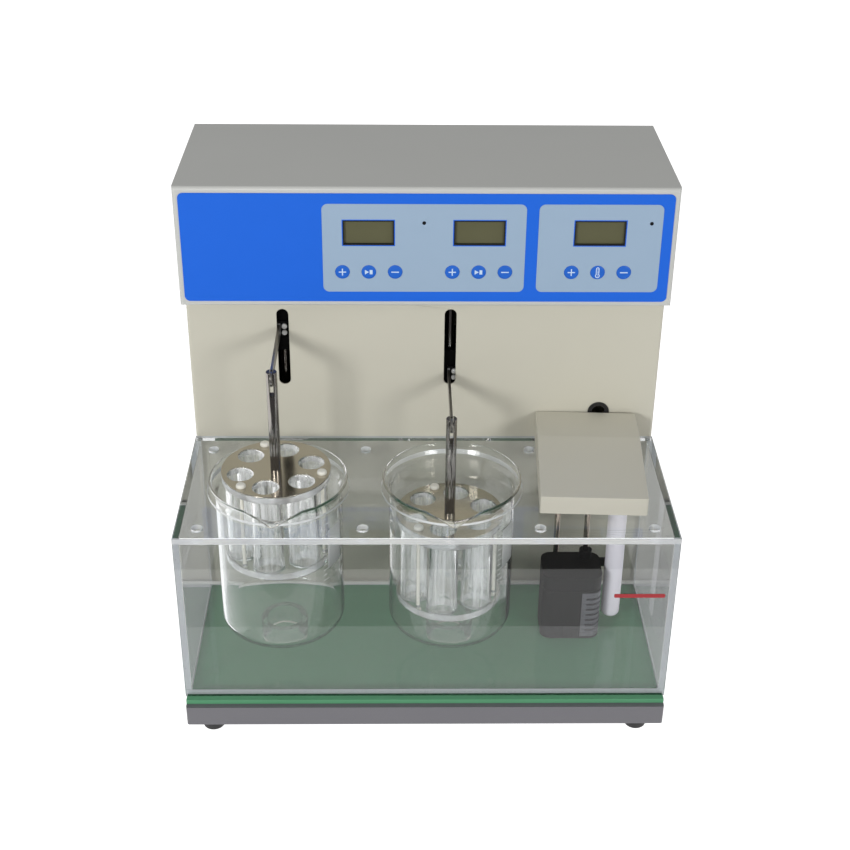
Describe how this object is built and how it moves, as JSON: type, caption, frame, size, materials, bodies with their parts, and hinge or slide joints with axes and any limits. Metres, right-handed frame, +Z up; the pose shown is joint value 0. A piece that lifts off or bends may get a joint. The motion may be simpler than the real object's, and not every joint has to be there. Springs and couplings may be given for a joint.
{
  "type": "tablet disintegration tester",
  "caption": "Bench tablet disintegration tester: clear heated water bath with glass beakers under a column whose powered arms dip baskets of glass tubes, with a keyed control head.",
  "frame": {"origin": "middle of the footprint, on the surface that the feet stand on", "axes": "+X to the user's right, +Y to the back, +Z up; the control panel faces -Y"},
  "size_m": [0.404, 0.3178, 0.429],
  "materials": {
    "base_paint": "fine satin paint",
    "feet": "matt",
    "bright_screws": "plain",
    "green_pad": "satin",
    "column_paint": "satin paint",
    "grommet": "satin",
    "blue_film": "semi gloss",
    "pale_film": "semi gloss",
    "lcd": "glossy window",
    "lamps": "gloss",
    "boards": "solder mask",
    "core_steel": "varnished",
    "plain_sheet": "plain",
    "bright_rod": "polished",
    "motor_metal": "plain",
    "black_plastic": "fine texture",
    "rocker": "gloss",
    "clear_acrylic": "clear, polished edges",
    "lid_acrylic": "clear, polished edges",
    "ring_acrylic": "clear",
    "red_mark": "printed",
    "carriage_metal": "milled",
    "arm_steel": "bright",
    "plate_steel": "polished",
    "disc_acrylic": "clear",
    "tube_glass": "clear",
    "screen_wire": "woven wire",
    "bolt_steel": "polished",
    "beaker_glass": "clear",
    "white_plastic": "satin",
    "cover_paint": "satin paint",
    "heater_white": "satin",
    "probe_steel": "polished",
    "pump_plastic": "fine texture",
    "strainer_plastic": "fine texture",
    "key_film": "semi gloss"
  },
  "bodies": {
    "machine": {"base_tray": "base_paint", "bottom_cover": "base_paint", "rubber_feet": "feet", "case_screws": "bright_screws", "tank_pad": "green_pad", "column_shell": "column_paint", "cable_grommet": "grommet", "rear_panel": "column_paint", "head_shell": "column_paint", "front_overlay": "blue_film", "control_fields": "pale_film", "lcd_displays": "lcd", "indicator_lamps": "lamps", "control_boards": "boards", "transformer": "core_steel", "motor_frame": "plain_sheet", "guide_rods": "bright_rod", "gearmotors": "motor_metal", "power_fittings": "black_plastic", "water_tank": "clear_acrylic", "level_mark": "red_mark", "beaker_rings": "ring_acrylic"},
    "mains_rocker": {"switch_rocker": "rocker"},
    "left_crank": {"left_crank": "bright_rod"},
    "right_crank": {"right_crank": "bright_rod"},
    "left_carriage": {"left_carriage": "carriage_metal", "left_lift_arm": "arm_steel"},
    "right_carriage": {"right_carriage": "carriage_metal", "right_lift_arm": "arm_steel"},
    "left_basket": {"left_hanger": "bright_rod", "left_top_plate": "plate_steel", "left_discs": "disc_acrylic", "left_tubes": "tube_glass", "left_screen": "screen_wire", "left_tie_bolts": "bolt_steel"},
    "right_basket": {"right_hanger": "bright_rod", "right_top_plate": "plate_steel", "right_discs": "disc_acrylic", "right_tubes": "tube_glass", "right_screen": "screen_wire", "right_tie_bolts": "bolt_steel"},
    "bath_lid": {"tank_lid": "lid_acrylic"},
    "left_beaker": {"left_beaker": "beaker_glass"},
    "right_beaker": {"right_beaker": "beaker_glass"},
    "heater_unit": {"heater_plate": "white_plastic", "heater_cover": "cover_paint", "heater_tube": "heater_white", "hanging_rods": "probe_steel", "circulation_pump": "pump_plastic", "pump_strainer": "strainer_plastic"},
    "key_left_plus": {"key_left_plus": "key_film"},
    "key_left_start": {"key_left_start": "key_film"},
    "key_left_minus": {"key_left_minus": "key_film"},
    "key_right_plus": {"key_right_plus": "key_film"},
    "key_right_start": {"key_right_start": "key_film"},
    "key_right_minus": {"key_right_minus": "key_film"},
    "key_heater_plus": {"key_heater_plus": "key_film"},
    "key_heater_mode": {"key_heater_mode": "key_film"},
    "key_heater_minus": {"key_heater_minus": "key_film"}
  },
  "joints": [
    {"name": "key_left_plus_press", "type": "slide", "parent": "machine", "child": "key_left_plus", "axis": [0, 1, 0], "range_m": [0, 0.0004], "stiffness_N_per_m": 300, "springref_m": -0.001},
    {"name": "key_left_start_press", "type": "slide", "parent": "machine", "child": "key_left_start", "axis": [0, 1, 0], "range_m": [0, 0.0004], "stiffness_N_per_m": 300, "springref_m": -0.001},
    {"name": "key_left_minus_press", "type": "slide", "parent": "machine", "child": "key_left_minus", "axis": [0, 1, 0], "range_m": [0, 0.0004], "stiffness_N_per_m": 300, "springref_m": -0.001},
    {"name": "key_right_plus_press", "type": "slide", "parent": "machine", "child": "key_right_plus", "axis": [0, 1, 0], "range_m": [0, 0.0004], "stiffness_N_per_m": 300, "springref_m": -0.001},
    {"name": "key_right_start_press", "type": "slide", "parent": "machine", "child": "key_right_start", "axis": [0, 1, 0], "range_m": [0, 0.0004], "stiffness_N_per_m": 300, "springref_m": -0.001},
    {"name": "key_right_minus_press", "type": "slide", "parent": "machine", "child": "key_right_minus", "axis": [0, 1, 0], "range_m": [0, 0.0004], "stiffness_N_per_m": 300, "springref_m": -0.001},
    {"name": "key_heater_plus_press", "type": "slide", "parent": "machine", "child": "key_heater_plus", "axis": [0, 1, 0], "range_m": [0, 0.0004], "stiffness_N_per_m": 300, "springref_m": -0.001},
    {"name": "key_heater_mode_press", "type": "slide", "parent": "machine", "child": "key_heater_mode", "axis": [0, 1, 0], "range_m": [0, 0.0004], "stiffness_N_per_m": 300, "springref_m": -0.001},
    {"name": "key_heater_minus_press", "type": "slide", "parent": "machine", "child": "key_heater_minus", "axis": [0, 1, 0], "range_m": [0, 0.0004], "stiffness_N_per_m": 300, "springref_m": -0.001},
    {"name": "mains_rocker_tilt", "type": "hinge", "parent": "machine", "child": "mains_rocker", "pos_m": [0.108, 0.1547, 0.082], "axis": [1, 0, 0], "range_deg": [0, 12]},
    {"name": "left_crank_turn", "type": "hinge", "parent": "machine", "child": "left_crank", "pos_m": [-0.12, 0.05, 0.3005], "axis": [0, 1, 0], "continuous": true},
    {"name": "right_crank_turn", "type": "hinge", "parent": "machine", "child": "right_crank", "pos_m": [0.021, 0.05, 0.3005], "axis": [0, 1, 0], "continuous": true},
    {"name": "left_lift", "type": "slide", "parent": "machine", "child": "left_carriage", "axis": [0, 0, 1], "range_m": [-0.0425, 0.0125]},
    {"name": "right_lift", "type": "slide", "parent": "machine", "child": "right_carriage", "axis": [0, 0, 1], "range_m": [0, 0.055]},
    {"name": "left_basket_swing", "type": "hinge", "parent": "left_carriage", "child": "left_basket", "pos_m": [-0.1235, -0.0683, 0.294], "axis": [1, 0, 0], "range_deg": [-1.3, 1.3]},
    {"name": "right_basket_swing", "type": "hinge", "parent": "right_carriage", "child": "right_basket", "pos_m": [0.0203, -0.0683, 0.2515], "axis": [1, 0, 0], "range_deg": [-1.3, 1.3]},
    {"name": "bath_lid_lift", "type": "slide", "parent": "machine", "child": "bath_lid", "axis": [0, 0, 1], "range_m": [0, 0.012]},
    {"name": "left_beaker_lift", "type": "slide", "parent": "bath_lid", "child": "left_beaker", "axis": [0, 0, 1], "range_m": [0, 0.01]},
    {"name": "right_beaker_lift", "type": "slide", "parent": "bath_lid", "child": "right_beaker", "axis": [0, 0, 1], "range_m": [0, 0.01]},
    {"name": "heater_unit_lift", "type": "slide", "parent": "bath_lid", "child": "heater_unit", "axis": [0, 0, 1], "range_m": [0, 0.08]}
  ]
}
